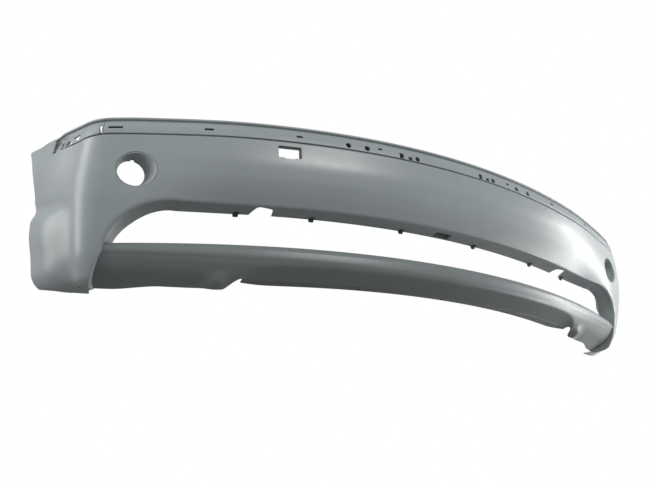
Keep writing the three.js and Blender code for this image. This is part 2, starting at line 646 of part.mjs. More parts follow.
// ---------------------------------------------------------------- lamp cups
// Seen from the front: a rim just inside the skin's hole, a flange behind the skin, a cone back to
// the lamp's seat, with a key notch at the top of the bore.
function lampCup() {
  const { x, z, rim, bore, rear, lean } = LAMP;
  const onFace = (radius, behind) => ({ radius, behind });
  const atRear = (radius, plane) => ({ radius, plane });
  const section = [
    onFace(rim - 0.3, 0.8), onFace(rim - 0.3, 4.2), onFace(rim + 6, 4.2), onFace(rim + 6, 6.4),
    onFace(rim + 0.5, 6.6), atRear(bore + 3, rear + 2.5), atRear(bore, rear + 2.5), atRear(bore, rear),
    onFace(rim - 2.6, 0.8),
  ];
  const around = (angle) => section.map(({ radius, behind, plane }) => {
    const px = x + (plane ? lean : 0) + radius * Math.cos(angle);
    const pz = z + radius * Math.sin(angle);
    const point = new THREE.Vector3(px, plane ?? faceY(px, pz) + behind, pz);
    return Object.assign(point, { u: radius, v: plane ?? LAMP_Y + behind });
  });
  const rings = range(32, 0, 2 * Math.PI).slice(0, -1).map(around);
  const key = boxOf(7, 20, 6).translate(x + lean, rear, z + bore);
  return cut(loft(rings, true), [key]);
}
const cup = lampCup();
add('lamp_cup_right', cup, mouldedGrey);
add('lamp_cup_left', mirrored(cup), mouldedGrey);

// ---------------------------------------------------------------- grille hooks
// Each hook grips the lip's rear edge and carries a tooth underneath.
for (const [place, x] of Object.entries(HOOKS)) {
  add(`grille_hook_${place}`, onLip(x, HOOK_OUTLINE, HOOK_WIDTH), darkGrey);
}

// ---------------------------------------------------------------- lower strip
// The strip hangs just under the bar's lower edge and reaches back from it, less so at its ends.
function stripRing(x) {
  const seat = bar(x, scoopBottom(x));
  const depth = lerp(20, 12, smooth(370, STRIP_HALF, Math.abs(x)));
  const rear = STRIP_FALL + STRIP_DROOP * x * x;
  const outline = [
    [-2.5, -0.4], [-2.5, -2.9], [3.5, -2.9], [depth, -rear - 2.2], [depth, -rear], [3.5, -0.4],
  ];
  return outline.map(([back, rise]) => {
    const point = new THREE.Vector3(x, seat.y + back, seat.z + rise);
    return Object.assign(point, { u: back, v: rise });
  });
}
const strip = loft(range(28, -STRIP_HALF, STRIP_HALF).map(stripRing));
function stripHole(x) {
  const seat = bar(x, scoopBottom(x));
  return drill(3.2, 30).rotateX(Math.PI / 2).translate(x, seat.y + 13, seat.z);
}
add('lower_strip', cut(strip, STRIP_HOLES.map(stripHole)), darkGrey);

// ---------------------------------------------------------------- fasteners
// Nut plates over the corner slots, and rivets through the channel's flange and the rails' tabs.
CORNER_SLOTS.forEach(([x, y], i) => {
  const bore = new THREE.CylinderGeometry(2.1, 2.1, 10, 12).rotateX(Math.PI / 2);
  const { z, lean, pitch } = NUT_SEATS[i];
  const plate = cut(boxOf(11, 9, 2), [bore]).rotateX(pitch).rotateY(-lean).translate(x + 2, y, z);
  add(`corner_nut_right_${i + 1}`, plate, steel);
  add(`corner_nut_left_${i + 1}`, mirrored(plate), steel);
});

const rivetProfile = [
  [0, -8.2], [4, -8.2], [4, -6.2], [2.4, -6.2], [2.4, 0.4], [5, 0.4], [4.4, 1.8], [2, 2.4], [0, 2.5],
];
const rivetTurned = new THREE.LatheGeometry(rivetProfile.map((at) => new THREE.Vector2(...at)), 12);
const rivet = fromManifold(toManifold(rivetTurned.rotateX(Math.PI / 2)));
for (const [name, s] of [['rail_rivet_left', -RIVET_S], ['rail_rivet_right', RIVET_S]]) {
  add(name, onBody(rivet, s, rimInset(s) + 13.5, RIM), steel);
}

const box = new THREE.Box3().setFromObject(bumper);
bumper.position.set(0, -(box.min.y + box.max.y) / 2, -box.min.z);

export default bumper;
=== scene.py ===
"""Looks of the front bumper cover: smooth shells over the CAD pieces, a studio and the camera."""
import math

import bmesh
import bpy
import numpy as np
from mathutils import Matrix, Vector


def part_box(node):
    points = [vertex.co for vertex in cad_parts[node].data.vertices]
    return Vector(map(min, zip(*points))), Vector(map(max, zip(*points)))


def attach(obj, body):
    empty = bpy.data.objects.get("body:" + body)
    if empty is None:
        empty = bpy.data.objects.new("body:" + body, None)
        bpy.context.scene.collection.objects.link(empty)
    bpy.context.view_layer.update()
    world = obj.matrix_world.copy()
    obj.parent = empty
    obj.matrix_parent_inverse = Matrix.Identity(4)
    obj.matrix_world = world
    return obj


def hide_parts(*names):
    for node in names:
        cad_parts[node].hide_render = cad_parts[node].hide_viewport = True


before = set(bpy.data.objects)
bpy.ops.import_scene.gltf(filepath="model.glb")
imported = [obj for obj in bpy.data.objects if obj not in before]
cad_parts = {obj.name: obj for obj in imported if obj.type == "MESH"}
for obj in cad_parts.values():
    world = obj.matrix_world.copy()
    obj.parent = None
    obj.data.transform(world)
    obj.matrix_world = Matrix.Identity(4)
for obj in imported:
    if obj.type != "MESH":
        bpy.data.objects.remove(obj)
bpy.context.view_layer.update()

# ------------------------------------------------------------------ driving dimensions (mm)
WALL = 3.0  # moulded wall of the skin and the bar
THIN = 2.5  # wall of the small mouldings
GAP = 0.5  # air between neighbouring pieces

# Plan view: a parabolic crown, a corner arc, a straight side; the corner tucks in towards the pole.
CROWN_Y = 58.0
CROWN_BOW = 2.85e-4
CORNER_START = 690.0
CORNER_RADIUS = 75.0
SIDE_ANGLE = math.radians(64)
CORNER_ANGLE = math.atan(2 * CROWN_BOW * CORNER_START)
ARC_LENGTH = CORNER_RADIUS * (SIDE_ANGLE - CORNER_ANGLE)
POLE = (650.0, 330.0)

# Long edges and the intake corner.
DROOP = 6.6e-5
TOP_Z = 303.0
TOP_FALL = 0.14
INTAKE_Z = 181.0
ARCH_Y, ARCH_Z, ARCH_RADIUS = 684.0, 110.0, 350.0
ARCH_FOOT_Q = -10.0
CORNER_S, CORNER_Z, CORNER_WIDTH, CORNER_HEIGHT = 560.0, 55.0, 124.0, 106.0
ROLL = 9.0
LIP_DEPTH = 28.0
LIP_DROP = 8.0
STEP_S = 828.0
SIDE_RISE = 35.0
SIDE_CORNER = 10.0
RISE_START, RISE_END = 770.0, 815.0

# How finely the skin is meshed, and how far its normals are evened out at the seam.
SEAT_LIP = 2.0
SEAM_PASSES = 40
LIP_ROWS = 5
ROLL_ROWS = 9
FACE_ROWS = np.concatenate([
    np.linspace(0, 0.12, 9)[:-1], np.linspace(0.12, 0.9, 40)[:-1], np.linspace(0.9, 1, 7),
])
CORNER_COLUMNS = (*np.linspace(0, 0.6, 49), *np.linspace(0.62, 0.74, 8), *np.linspace(0.76, 2, 75))

# Lower bar and its strip.
BAR_Y = 67.0
BAR_BOW = 3.46e-4
BAR_TOP_Z = 89.0
BAR_DROOP = 4.0e-5
BAR_END = 684.0
SCOOP_HALF = 443.0
SCOOP_Z = 57.0
SCOOP_SLOPE = 1.12
SCOOP_BOTTOM = 36.5
SCOOP_DROOP = 4.5e-5
BAR_SOFTNESS = 2.5
BAR_FLANGE = ((46, -9), (34, -3), (18, 0.6))
STRIP_HALF = 428
STRIP_FALL = 2
STRIP_DROOP = 1e-5
STRIP_HOLES = (-198, 0, 198)

# Channel and end rails: places along s, and rises above the skin's top line.
RIM = 40.5
CHANNEL_END = 700.0
RAIL_END = 848.0
SLOTS = ((176, 10), (348, 13), (517, 17), (678, 26))
SLOT_RISE = 16
ROUND_HOLES = (206, 247)
CLUSTERS = (-105, 108)
RIVET_S = 692
WINDOWS = (
    ((757, 5), (776, 17), (757, 20)),
    ((775, 5.5), (798, 5.5), (786, 17)),
    ((803, 6), (812, 6), (814, 21), (803, 21)),
    ((831, 6), (839, 7), (842, 23), (833, 22)),
)
# What is behind the rim, as inset from it and rise: a flange on the rails, a back wall on the channel.
RAIL_BACK = ((20, RIM), (20, RIM - THIN))
CHANNEL_BACK = ((20.5, RIM), (22, RIM - 1.5), (22, 6), (19.6, 6), (19.6, RIM - THIN))

# Openings and small pieces.
LAMP_X, LAMP_Z, LAMP_RIM, LAMP_BORE, LAMP_REAR, LAMP_LEAN = 636.3, 205.0, 35.0, 25.0, 202.0, 3.2
TOW_S, TOW_Z, TOW_WIDTH, TOW_HEIGHT = -368.5, 272.0, 41.0, 22.0
NOTCHES = (-394, 414)
MIDDLE_SLOT_X = 8
CORNER_SLOTS = ((689, 285), (689, 313))
HOOKS = {"left_1": -92, "left_2": -294, "left_3": -442, "right_1": 108, "right_2": 306, "right_3": 448}
HOOK_WIDTH = 9
HOOK_OUTLINE = (
    (-2, -5.3), (9, -5.3), (9, -3.5), (-0.4, -3.5), (-0.4, 0.5), (9, 0.5), (9, 2), (4, 2),
    (0.2, 4.6), (-2, 4.6),
)

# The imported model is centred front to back, so its skin tells how far it was moved.
SHIFT_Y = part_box("front_skin")[0].y * 1000 - CROWN_Y


# ------------------------------------------------------------------ helpers
def lerp(a, b, t):
    return a + (b - a) * t


def smooth(a, b, t):
    u = np.clip((t - a) / (b - a), 0, 1)
    return u * u * (3 - 2 * u)


def smooth_table(pairs):
    """A curve through rising (key, value) pairs that never overshoots them."""
    x, y = np.array(pairs, float).T
    step = np.diff(y) / np.diff(x)
    before, after = step[:-1], step[1:]
    rising = before * after > 0
    total = np.where(rising, before + after, 1)
    slope = np.concatenate([step[:1], np.where(rising, 2 * before * after / total, 0), step[-1:]])

    def at(key):
        key = np.asarray(key, float)
        i = np.clip(np.searchsorted(x, key, side="right") - 1, 0, len(x) - 2)
        h = x[i + 1] - x[i]
        t = (key - x[i]) / h
        ease = y[i] + (y[i + 1] - y[i]) * t * t * (3 - 2 * t)
        inside = ease + h * t * (1 - t) * (slope[i] * (1 - t) - slope[i + 1] * t)
        low = y[0] + slope[0] * (key - x[0])
        high = y[-1] + slope[-1] * (key - x[-1])
        return np.where(key < x[0], low, np.where(key > x[-1], high, inside))

    return at


# ------------------------------------------------------------------ the body surface
# s runs along the plan curve from the middle to the wheel arch, q runs down the face.
def plan(s):
    angle = np.clip(CORNER_ANGLE + (s - CORNER_START) / CORNER_RADIUS, CORNER_ANGLE, SIDE_ANGLE)
    straight = np.maximum(0, s - CORNER_START - ARC_LENGTH)
    start_y = CROWN_Y + CROWN_BOW * CORNER_START**2
    turned_x = CORNER_START + CORNER_RADIUS * (np.sin(angle) - math.sin(CORNER_ANGLE))
    turned_y = start_y + CORNER_RADIUS * (math.cos(CORNER_ANGLE) - np.cos(angle))
    x = np.where(s <= CORNER_START, s, turned_x + straight * math.cos(SIDE_ANGLE))
    y = np.where(s <= CORNER_START, CROWN_Y + CROWN_BOW * s * s, turned_y + straight * math.sin(SIDE_ANGLE))
    return x, y


def inward(s, x, y):
    dx, dy = POLE[0] - x, POLE[1] - y
    length = np.hypot(dx, dy)
    return np.where(s <= POLE[0], 0, dx / length), np.where(s <= POLE[0], 1, dy / length)


def top_z(s):
    return TOP_Z - DROOP * np.minimum(s, CORNER_START) ** 2 - TOP_FALL * np.maximum(0, s - CORNER_START)


def intake_z(s):
    return INTAKE_Z - DROOP * s * s


face_inset = smooth_table([(-20, 5), (0, 3), (40, 0), (75, 5), (100, 14), (119, 25), (130, 32), (300, 140)])
corner_inset = smooth_table([
    (-60, 108), (-40, 88), (-15, 64), (5, 48), (25, 36.6), (50, 24.4),
    (87, 14.6), (125, 7.3), (163, 1.6), (194, 0), (227, 1.6), (271, 6), (310, 12),
])
side_inset = smooth_table([
    (-60, 88), (-40, 70), (-15, 47), (5, 33), (25, 19), (56, 9), (102, -2.5),
    (122, -3.4), (148, 5), (168, 0.4), (223, -4), (280, 0.5), (310, 3),
])
under_z = smooth_table([(-60, 0), (-40, 0), (-15, 3), (5, 9.5), (25, 25), (45, 45)])


def height_of(q):
    return np.where(q < 45, under_z(q), q)


def body_inset(s, q):
    front = lerp(face_inset(top_z(s) - q), corner_inset(q), smooth(450, 640, s))
    arch_flange = 3 * smooth(848, 874, s) * smooth(150, 180, q)
    return lerp(front, side_inset(q), smooth(742, 830, s)) + arch_flange


def body(s, q, extra=0.0):
    s, q = np.broadcast_arrays(np.asarray(s, float), np.asarray(q, float))
    a = np.abs(s)
    x, y = plan(a)
    dx, dy = inward(a, x, y)
    inset = body_inset(a, q) + extra
    return np.stack([np.sign(s) * (x + dx * inset), y + dy * inset, height_of(q)], -1)


def arch_s(q):
    """Where the wheel-arch circle cuts the side at height q."""
    edge = ARCH_Y - np.sqrt(ARCH_RADIUS**2 - (height_of(q) - ARCH_Z) ** 2)
    low, high = 800.0, 960.0
    for _ in range(40):
        middle = (low + high) / 2
        if body(middle, q)[1] < edge:
            low = middle
        else:
            high = middle
    return low


# ------------------------------------------------------------------ the bar surface
bar_front = smooth_table([
    (4, 150), (10, 128), (17, 109), (29, 87), (41, 74), (54, 64.5),
    (66, 60.5), (76, 61), (84, 64.5), (89, 71),
])


def bar_top(x):
    return BAR_TOP_Z - BAR_DROOP * x * x


def scoop_edge(x):
    u = np.minimum(np.abs(x) / SCOOP_HALF, 1)
    return 14 + (SCOOP_Z - DROOP * 0.6 * x * x - 14) * np.sqrt(1 - u**14)


def bar(x, z):
    x, z = np.broadcast_arrays(np.asarray(x, float), np.asarray(z, float))
    stretched = 54 + (z - 54) * (BAR_TOP_Z - 54) / (bar_top(x) - 54)
    lobe = 9 * np.exp(-(((np.abs(x) - 474) / 20) ** 2))
    lowered = np.where(z < 40, z + lobe * smooth(40, 14, z), np.where(z > 54, stretched, z))
    below = scoop_edge(x) - z
    recess = SCOOP_SLOPE * 0.5 * (below + np.sqrt(below * below + BAR_SOFTNESS**2))
    recess = np.where(np.abs(x) < SCOOP_HALF + 12, recess, 0)
    return np.stack([x, BAR_BOW * x * x + bar_front(lowered) + recess, z], -1)


def scoop_bottom(x):
    return SCOOP_BOTTOM - SCOOP_DROOP * x * x


def bar_bottom(x):
    a = abs(x)
    outer = lerp(12, 7.4, smooth(560, 640, a)) - 4 * math.exp(-(((a - 474) / 18) ** 2))
    return lerp(outer, scoop_bottom(x), smooth(SCOOP_HALF + 17, SCOOP_HALF - 11, a))


# ------------------------------------------------------------------ mesh building
def make(name, points, faces):
    """A mesh object from millimetre points in the part's own frame."""
    points = np.asarray(points, float).reshape(-1, 3) + (0, SHIFT_Y, 0)
    mesh = bpy.data.meshes.new(name)
    mesh.from_pydata((points / 1000).tolist(), [], [list(map(int, f)) for f in faces])
    mesh.validate()
    mesh.update()
    obj = bpy.data.objects.new(name, mesh)
    bpy.context.scene.collection.objects.link(obj)
    return obj


def shell_mesh(grid, thickness, normal):
    """Points and faces of a closed shell: a grid of points and its copy moved along the normals."""
    n, m = grid.shape[:2]
    points = np.concatenate([grid.reshape(-1, 3), (grid + normal * thickness).reshape(-1, 3)])
    size = n * m
    index = np.arange(size).reshape(n, m)
    a, b, c, d = index[:-1, :-1], index[:-1, 1:], index[1:, 1:], index[1:, :-1]
    outer = np.stack([a, d, c, b], -1).reshape(-1, 4)
    inner = np.stack([a, b, c, d], -1).reshape(-1, 4) + size
    return points, np.concatenate([outer, inner])


def loft_mesh(rings, closed=False):
    """Points and faces of a section swept through rings; closed joins the last ring to the first."""
    rings = np.asarray(rings, float)
    n, k = rings.shape[:2]
    index = np.arange(n * k).reshape(n, k)
    faces = []
    pairs = range(n) if closed else range(n - 1)
    for i in pairs:
        here, there = index[i], index[(i + 1) % n]
        faces.append(np.stack([here, there, np.roll(there, -1), np.roll(here, -1)], -1))
    faces = np.concatenate(faces).tolist()
    if not closed:
        faces += [index[0].tolist(), index[-1][::-1].tolist()]
    return rings.reshape(-1, 3), faces


def outward(obj):
    """Turns the faces so that they all look out."""
    bm = bmesh.new()
    bm.from_mesh(obj.data)
    bmesh.ops.recalc_face_normals(bm, faces=bm.faces)
    bm.to_mesh(obj.data)
    bm.free()
    return obj


def baked(obj):
    """Replaces the object's mesh by what its modifiers make of it."""
    bpy.context.view_layer.update()
    graph = bpy.context.evaluated_depsgraph_get()
    mesh = bpy.data.meshes.new_from_object(obj.evaluated_get(graph))
    obj.modifiers.clear()
    obj.data = mesh
    return obj


def combined(obj, others, operation):
    """Joins the others to the object or cuts them out of it; they are used up."""
    for other in others:
        modifier = obj.modifiers.new(operation, "BOOLEAN")
        modifier.operation = operation
        modifier.solver = "EXACT"
        modifier.object = other
    baked(obj)
    for other in others:
        bpy.data.objects.remove(other)
    return obj


def cut(obj, tools):
    return combined(obj, tools, "DIFFERENCE")


def joined(obj, parts):
    return combined(obj, parts, "UNION")


def fillet(outline, radius, steps=3):
    """Rounds every corner of a closed outline of (u, v) points."""
    points = np.asarray(outline, float)
    n = len(points)
    rounded = []
    for i in range(n):
        before, here, after = points[i - 1], points[i], points[(i + 1) % n]
        to_before, to_after = before - here, after - here
        reach = min(radius, 0.45 * np.linalg.norm(to_before), 0.45 * np.linalg.norm(to_after))
        a = here + to_before / np.linalg.norm(to_before) * reach
        b = here + to_after / np.linalg.norm(to_after) * reach
        for t in np.linspace(0, 1, steps + 1):
            rounded.append((1 - t) ** 2 * a + 2 * t * (1 - t) * here + t * t * b)
    return np.array(rounded)


def prism(name, outline, low, high, axes, place=None):
    """A closed prism: outline runs on the first two axes and is stretched along the third."""
    outline = np.asarray(outline, float)
    rings = np.zeros((2, len(outline), 3))
    rings[:, :, axes[0]] = outline[:, 0]
    rings[:, :, axes[1]] = outline[:, 1]
    rings[0, :, axes[2]] = low
    rings[1, :, axes[2]] = high
    if place is not None:
        rings = place(rings)
    return outward(make(name, *loft_mesh(rings)))


def rounded_box(width, height, radius):
    half_w, half_h = width / 2, height / 2
    corners = [(-half_w, -half_h), (half_w, -half_h), (half_w, half_h), (-half_w, half_h)]
    return fillet(corners, radius, 4)


def circle(radius, steps=32):
    angle = np.linspace(0, 2 * math.pi, steps, endpoint=False)
    return np.stack([radius * np.cos(angle), radius * np.sin(angle)], -1)


# ------------------------------------------------------------------ placing along the top edge
def edge_inset(s):
    a = abs(s)
    return float(body_inset(a, top_z(a)) + 5 * smooth(786, 816, a))


def rim_inset(s):
    a = abs(s)
    return float(body_inset(a, top_z(a)) + lerp(11, 4.5, smooth(690, 775, a)) + 4 * smooth(800, 826, a))


def foot_inset(s):
    return edge_inset(s) + WALL + GAP + 2.8 * float(smooth(660, 704, abs(s)))


def ring(s, outline):
    """A ring in the section plane at s: offsets inwards and upwards from the top edge."""
    a = abs(s)
    x, y = plan(a)
    dx, dy = inward(a, x, y)
    inset, rise = np.asarray(outline, float).T
    side = -1 if s < 0 else 1
    return np.stack([side * (x + dx * inset), y + dy * inset, top_z(a) + rise], -1)


def on_body(s, inset, rise):
    """Places local points square to the top edge at s: x along it, y inwards, z up."""
    def at(where):
        return ring(where, [(inset, rise)])[0]

    along = at(s + 1) - at(s - 1)
    along /= np.linalg.norm(along)
    back = np.array([-along[1], along[0], 0]) / np.hypot(along[0], along[1])
    basis = np.stack([along, back, np.cross(along, back)])
    return lambda points: points @ basis + at(s)


def wall_hole(outline, s, rise):
    return prism("tool", outline, -12, 6, (0, 2, 1), on_body(s, edge_inset(s) + 5, rise))


# ------------------------------------------------------------------ front skin
SIDE_TOP_Q = float(top_z(STEP_S + 50)) + SIDE_RISE
FOOT_S = smooth_table([(1.55, arch_s(ARCH_FOOT_Q)), (1.65, 862), (1.75, 845), (1.9, 800), (2, 765)])
FOOT_Q = smooth_table([(1.55, ARCH_FOOT_Q), (1.65, -26), (1.75, -45), (1.9, -54), (2, -50)])
BESIDE_S = smooth_table([(1, 684), (1.2, 692), (1.4, 699), (1.7, 709), (2, 726)])
BESIDE_Q = smooth_table([(1, 55), (1.2, 41), (1.4, 22), (1.7, -8), (2, -44)])
VALLEY_X = smooth_table([(1, 672), (1.2, 675), (1.4, 676), (1.7, 673), (2, 664)])
VALLEY_Z = smooth_table([(1, 60), (1.2, 42), (1.4, 29), (1.7, 16), (2, 6)])


def side_q(s):
    """Top edge of the shell before the stretch in front of the rail is cut down."""
    return float(top_z(s)) + SIDE_RISE * float(smooth(RISE_START, RISE_END, s))


def outer_edge(k):
    """Outer boundary of the skin beyond the intake corner: top edge, wheel arch, foot."""
    if k <= 0.6:
        s = lerp(CORNER_S, STEP_S, k / 0.6)
        return s, side_q(s)
    if k <= 0.74:
        s = lerp(STEP_S, arch_s(SIDE_TOP_Q), (k - 0.6) / 0.14)
        return s, lerp(side_q(STEP_S), SIDE_TOP_Q, (k - 0.6) / 0.14)
    if k <= 1.55:
        q = lerp(SIDE_TOP_Q, ARCH_FOOT_Q, (k - 0.74) / 0.81)
        return arch_s(q), q
    return float(FOOT_S(k)), float(FOOT_Q(k))


def inner_edge(k):
    """Inner boundary: a quarter ellipse round the intake corner, then the edge beside the bar."""
    if k > 1:
        return float(BESIDE_S(k)), float(BESIDE_Q(k))
    angle = math.pi / 2 * (1 - k)
    return CORNER_S + CORNER_WIDTH * math.cos(angle), CORNER_Z + CORNER_HEIGHT * math.sin(angle)


def unit(v):
    return v / np.linalg.norm(v, axis=-1, keepdims=True)


def skin_column(inner, outer, depth, drop, seat, seated, face_rows):
    """One column of the skin, from the lip's rear edge over the rolled edge to the outer edge."""
    def place(t):
        return body(lerp(inner[0], outer[0], t), lerp(inner[1], outer[1], t))

    start = place(0)
    away = unit(place(0.04) - start)
    inside = body(*inner, 1) - start
    normal = unit(inside - away * np.dot(inside, away))
    corner = start - away * ROLL
    free = corner + normal * ROLL
    end = free if seat is None else lerp(free, seat, seated)
    hanging = end - unit(np.array([away[0], 0, away[2]])) * drop + (0, depth, 0)
    rear = lerp(hanging, end + unit(end - corner) * SEAT_LIP, seated)
    lip = [lerp(rear, end, t) for t in np.linspace(0, 1, LIP_ROWS)[:-1]]
    bend = np.linspace(1, 0, ROLL_ROWS)[:-1, None]
    roll = start * (1 - bend) ** 2 + corner * 2 * bend * (1 - bend) + end * bend * bend
    return np.concatenate([lip, roll, place(face_rows)])


def straight_column(s, rows=FACE_ROWS):
    return skin_column((s, float(intake_z(s))), (s, float(top_z(s))), LIP_DEPTH, LIP_DROP, None, 0, rows)


def corner_column(k):
    fade = float(smooth(1.15, 0.75, k))
    seat = bar(VALLEY_X(k), VALLEY_Z(k)) + (0, -GAP - 1, -GAP - 1.5 * float(smooth(1.6, 2, k)))
    depth = lerp(1.5, LIP_DEPTH, fade)
    drop = lerp(0, LIP_DROP + 8 * float(smooth(0, 0.6, k)), fade)
    seated = float(smooth(0.8, 1.05, k))
    return skin_column(inner_edge(k), outer_edge(k), depth, drop, seat, seated, FACE_ROWS)


def both_sides(half):
    """Adds the left half to columns that run from the middle to the right."""
    half = np.asarray(half)
    return np.concatenate([(half * (-1, 1, 1))[:0:-1], half])


def lip_frame(x):
    """The lip's free rear edge at x: its place, and the directions to the face and downwards."""
    column = straight_column(abs(x), np.array([0.0, 1.0]))
    ahead = unit((column[1] - column[0]) * (0, 1, 1))
    down = np.array([0, ahead[2], -ahead[1]])
    down = -down if down[2] > 0 else down
    return np.array([x, column[0][1], column[0][2]]), ahead, down


def drawn_in(line, distance, reach):
    """Moves the points of a line along it, so that both of its ends come in by a distance."""
    steps = np.linalg.norm(np.diff(line, axis=0), axis=1)
    along = np.concatenate([[0], np.cumsum(steps)])
    target = along + distance * (np.exp(-along / reach) - np.exp((along - along[-1]) / reach))
    return np.stack([np.interp(target, along, line[:, i]) for i in range(3)], -1)


def grid_normals(grid, passes):
    """Unit normals of a grid of points, evened out from column to column."""
    normal = unit(np.cross(np.gradient(grid, axis=1), np.gradient(grid, axis=0)))
    for _ in range(passes):
        beside = np.concatenate([normal[:1], normal[:-1]]) + np.concatenate([normal[1:], normal[-1:]])
        normal = unit(normal + 0.5 * beside)
    return normal


def rounded_shell(name, edge, thickness, passes=0, steps=5):
    """A closed shell of even thickness on a grid of points, with its free edges rounded off."""
    half = thickness / 2
    reach = 4 * thickness
    edge = np.asarray(edge, float)
    grid = np.array([drawn_in(column, half, reach) for column in edge])
    grid = np.array([drawn_in(row, half, reach) for row in grid.transpose(1, 0, 2)]).transpose(1, 0, 2)
    normal = grid_normals(grid, passes)
    points, faces = shell_mesh(grid, thickness, normal)
    n, m = grid.shape[:2]
    index = np.arange(n * m).reshape(n, m)
    rim = np.concatenate([index[0, :], index[1:, -1], index[-1, -2::-1], index[-2:0:-1, 0]])
    middle = (grid + normal * half).reshape(-1, 3)[rim]
    up = normal.reshape(-1, 3)[rim]
    away = (edge - grid).reshape(-1, 3)[rim]
    away = unit(away - up * (away * up).sum(-1, keepdims=True))
    loops = [rim]
    for k in range(1, steps):
        angle = math.pi * (k / steps - 0.5)
        ring_points = middle + half * (away * math.cos(angle) + up * math.sin(angle))
        loops.append(len(points) + np.arange(len(rim)))
        points = np.concatenate([points, ring_points])
    loops.append(rim + n * m)
    strips = [np.stack([a, np.roll(a, -1), np.roll(b, -1), b], -1) for a, b in zip(loops, loops[1:])]
    return outward(make(name, points, np.concatenate([faces, *strips])))


def tow_eye_tools():
    """The moulded box behind the skin, the recess that opens it, and the hole through both."""
    def box(width, depth, height, inset, dz, radius):
        rise = TOW_Z + dz - float(top_z(abs(TOW_S)))
        place = on_body(TOW_S, edge_inset(TOW_S) + inset, rise)
        return prism("tool", rounded_box(width, height, radius), -depth / 2, depth / 2, (0, 2, 1), place)

    pocket = box(TOW_WIDTH + 16, 7, TOW_HEIGHT + 15, 5.5, 1, 4)
    recess = box(TOW_WIDTH + 5, 15, TOW_HEIGHT + 3, -1.5, 0.5, 2.5)
    w, h = TOW_WIDTH / 2, TOW_HEIGHT / 2
    outline = [
        (-w, -h), (-w / 2, -h), (-w / 2, -h - 3), (w / 2, -h - 3), (w / 2, -h), (w, -h), (w, h), (-w, h),
    ]
    place = on_body(TOW_S, edge_inset(TOW_S), TOW_Z - float(top_z(abs(TOW_S))))
    hole = prism("tool", fillet(outline, 1.5), -30, 30, (0, 2, 1), place)
    return pocket, recess, hole


def lip_notch(x):
    """A notch in the lip, narrower towards the face, with rounded corners."""
    rear = lip_frame(x)[0]
    outline = [(-25, 14), (-22, -4), (-16, -26), (15, -26), (19, -12), (25, 14)]
    return prism("tool", fillet(outline, 8, 5), -30, 30, (0, 1, 2), lambda points: points + rear)


def on_lip(name, x, outline, width, trim=0.0):
    """A block on the lip: its outline is given ahead of the lip's rear edge and downwards."""
    rear, ahead, down = lip_frame(x)
    outline = np.asarray(outline, float)
    inner = outline + unit(outline.mean(0) - outline) * trim
    rings = []
    half = width / 2
    for dx, section in ((-half, inner), (trim - half, outline), (half - trim, outline), (half, inner)):
        points = rear + section[:, :1] * ahead + section[:, 1:] * down
        rings.append(points + (dx, 2 * CROWN_BOW * x * dx, 0))
    return outward(make(name, *loft_mesh(rings if trim else [rings[0], rings[-1]])))


def slot_pocket():
    return on_lip("tool", MIDDLE_SLOT_X, [(1.5, -1.5), (24.5, -1.5), (24.5, -13), (1.5, -13)], 47)


def slot_room():
    return on_lip("tool", MIDDLE_SLOT_X, [(4, 6), (22, 6), (22, -11), (4, -11)], 42)


def corner_slot(x, y, side):
    def place(points):
        return (points + (x, y, 2)) * (side, 1, 1)
    return prism("tool", rounded_box(9, 4.5, 1.5), -12, 12, (0, 1, 2), place)


def lamp_bore(side):
    y = float(body(LAMP_X, LAMP_Z)[1])
    def place(points):
        return (points + (LAMP_X, y, LAMP_Z)) * (side, 1, 1)
    return prism("tool", circle(LAMP_RIM, 96), -55, 55, (0, 2, 1), place)


def bar_room(side):
    """The room round the bar's end, cut out of the lip."""
    rings = []
    for x in (636, 648, 658, 666, 673, 680):
        top = bar_top(x) + 1.2
        front = [(float(bar(x, z)[1]) - 3, z) for z in (30, 42, 54, 64, top)]
        section = [(front[-1][0] + 70, top), (front[-1][0] + 70, 30), *front]
        rings.append([(side * x, y, z) for y, z in section])
    return outward(make("tool", *loft_mesh(rings)))


def top_edge_room(side):
    """Takes the skin down to its top line in front of the end rail."""
    rings = []
    for s in np.linspace(RISE_START - 8, STEP_S, 16):
        e = edge_inset(s)
        rings.append(ring(side * s, [(e - 25, 0), (e + 25, 0), (e + 25, 50), (e - 25, 50)]))
    return outward(make("tool", *loft_mesh(rings)))


def top_corner_room(side):
    """Rounds the corner between the raised top edge and the wheel arch."""
    top_s = arch_s(SIDE_TOP_Q)
    corner = body(top_s, SIDE_TOP_Q)
    top = body(top_s - SIDE_CORNER, SIDE_TOP_Q + TOP_FALL * SIDE_CORNER)
    arch = body(arch_s(SIDE_TOP_Q - SIDE_CORNER), SIDE_TOP_Q - SIDE_CORNER)
    t = np.linspace(0, 1, 13)[:, None]
    curve = top * (1 - t) ** 2 + corner * 2 * t * (1 - t) + arch * t * t
    reach = corner[1] + 9
    outline = [*curve[:, 1:], (reach, arch[2]), (reach, top[2] + 9), (top[1], top[2] + 9)]
    def place(points):
        return points * (side, 1, 1)
    return prism("tool", outline, corner[0] - 60, corner[0] + 60, (1, 2, 0), place)


def front_skin():
    straight = [straight_column(s) for s in np.linspace(0, CORNER_S, 61)[:-1]]
    grid = both_sides(straight + [corner_column(k) for k in CORNER_COLUMNS])
    skin = rounded_shell("skin_shell", grid, WALL, passes=SEAM_PASSES)
    pocket, recess, hole = tow_eye_tools()
    joined(skin, [pocket, slot_pocket()])
    slots = [corner_slot(x, y, side) for x, y in CORNER_SLOTS for side in (-1, 1)]
    paired = (lamp_bore, bar_room, top_edge_room, top_corner_room)
    sides = [tool(side) for tool in paired for side in (-1, 1)]
    cut(skin, [recess, hole, *map(lip_notch, NOTCHES), slot_room(), *slots, *sides])
    return skin


